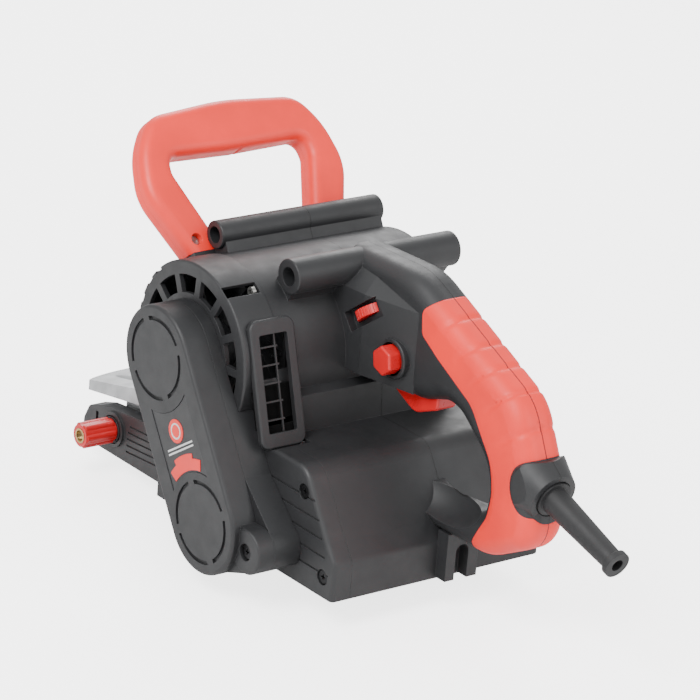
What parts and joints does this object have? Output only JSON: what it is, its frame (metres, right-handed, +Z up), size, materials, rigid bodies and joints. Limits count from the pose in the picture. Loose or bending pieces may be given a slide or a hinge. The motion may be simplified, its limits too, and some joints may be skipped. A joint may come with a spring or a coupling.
{
  "type": "wall chaser",
  "caption": "Twin-disc wall chaser: transverse motor over a disc guard, side belt drive, rear loop handle, front D-handle, hinged roller sole and a rear dust outlet.",
  "frame": {"origin": "on the sole's flat underside, on the handle's mid-plane in X and 100 mm in front of the disc spindle in Y (the sole_plate mount)", "axes": "+Z up, +Y forwards in the cutting direction, +X to the tool's right; the motor and disc spindle run along X"},
  "size_m": [0.218, 0.518, 0.2789],
  "materials": {
    "black_plastic": "fine matte moulded texture",
    "red_handle": "smooth satin moulded plastic",
    "red_grip": "soft-touch rubber",
    "red_button": "satin moulded plastic",
    "grey_badge": "satin plate",
    "cast_aluminium": "sand-cast, tumbled",
    "bare_steel": "ground",
    "dark_steel": "black powder coat",
    "zinc_screw": "zinc plated",
    "black_screw": "black oxide",
    "black_duct": "dusty matte",
    "copper": "enamelled copper wire",
    "brass": "turned",
    "carbon": "pressed carbon",
    "disc_steel": "rolled steel with sintered rim",
    "black_rubber": "moulded rubber",
    "silicon_steel": "laminated sheet stack",
    "pcb": "potted electronics"
  },
  "bodies": {
    "main_body": {"badge_plate": "grey_badge", "bearing_block": "cast_aluminium", "belt_cover": "black_plastic", "belt_housing": "black_plastic", "brush_holders": "brass", "brush_springs": "bare_steel", "cable_clamp": "black_plastic", "cable_sleeve": "black_rubber", "carbon_brushes": "carbon", "cover_screws": "black_screw", "d_handle_front_shell": "red_handle", "d_handle_rear_shell": "red_handle", "d_handle_screws": "zinc_screw", "dial_pin": "bare_steel", "drive_belt": "black_rubber", "dust_duct": "black_duct", "dust_grille": "black_plastic", "dust_port": "black_plastic", "end_shield": "black_plastic", "handle_bracket": "black_plastic", "hinge_bolt": "bare_steel", "housing_bolts": "zinc_screw", "knob_washer": "dark_steel", "left_guard_panel": "black_plastic", "left_housing": "black_plastic", "left_motor_bearing": "bare_steel", "left_soft_grip": "red_grip", "left_spindle_bearing": "bare_steel", "nose_casting": "cast_aluminium", "right_guard_cover": "black_plastic", "right_housing": "black_plastic", "right_motor_bearing": "bare_steel", "right_soft_grip": "red_grip", "right_spindle_bearing": "bare_steel", "shield_screw": "zinc_screw", "speed_controller": "pcb", "stator_core": "silicon_steel", "stator_windings": "copper", "switch_module": "black_plastic"},
    "motor_rotor": {"armature_shaft": "bare_steel", "armature_core": "silicon_steel", "commutator": "copper", "cooling_fan": "black_plastic", "motor_pulley": "bare_steel"},
    "disc_spindle": {"spindle_shaft": "bare_steel", "spindle_pulley": "bare_steel", "left_disc": "disc_steel", "right_disc": "disc_steel", "spacer_rings": "disc_steel", "clamp_nut": "bare_steel"},
    "sole": {"sole_frame": "dark_steel", "roller_axles": "bare_steel"},
    "front_roller": {"front_roller": "black_plastic"},
    "rear_roller": {"rear_roller": "black_plastic"},
    "depth_knob": {"depth_knob": "red_button", "knob_insert": "brass"},
    "trigger": {"trigger": "red_button"},
    "lock_button": {"lock_button": "red_button"},
    "speed_dial": {"speed_dial": "red_button"}
  },
  "joints": [
    {"name": "motor_spin", "type": "hinge", "parent": "main_body", "child": "motor_rotor", "pos_m": [0, -0.0375, 0.1316], "axis": [1, 0, 0], "continuous": true},
    {"name": "spindle_spin", "type": "hinge", "parent": "main_body", "child": "disc_spindle", "pos_m": [0, -0.1, 0.0366], "axis": [1, 0, 0], "continuous": true},
    {"name": "sole_tilt", "type": "hinge", "parent": "main_body", "child": "sole", "pos_m": [0, 0.0973, 0.0196], "axis": [1, 0, 0], "range_deg": [0, 5]},
    {"name": "front_roller_spin", "type": "hinge", "parent": "sole", "child": "front_roller", "pos_m": [0, 0.06, 0.0086], "axis": [1, 0, 0], "continuous": true},
    {"name": "rear_roller_spin", "type": "hinge", "parent": "sole", "child": "rear_roller", "pos_m": [0, -0.166, 0.0086], "axis": [1, 0, 0], "continuous": true},
    {"name": "knob_turn", "type": "hinge", "parent": "main_body", "child": "depth_knob", "pos_m": [0, 0.0973, 0.0196], "axis": [-1, 0, 0], "range_deg": [0, 330]},
    {"name": "trigger_pull", "type": "hinge", "parent": "main_body", "child": "trigger", "pos_m": [0, -0.127, 0.13], "axis": [-1, 0, 0], "range_deg": [0, 6]},
    {"name": "lock_push", "type": "slide", "parent": "main_body", "child": "lock_button", "axis": [1, 0, 0], "range_m": [0, 0.004]},
    {"name": "dial_turn", "type": "hinge", "parent": "main_body", "child": "speed_dial", "pos_m": [-0.016, -0.11, 0.17], "axis": [0, 0.6018, 0.7986], "range_deg": [0, 300]}
  ],
  "couplings": [
    {"joint": "spindle_spin", "follows": "motor_spin", "ratio": 0.46552}
  ]
}
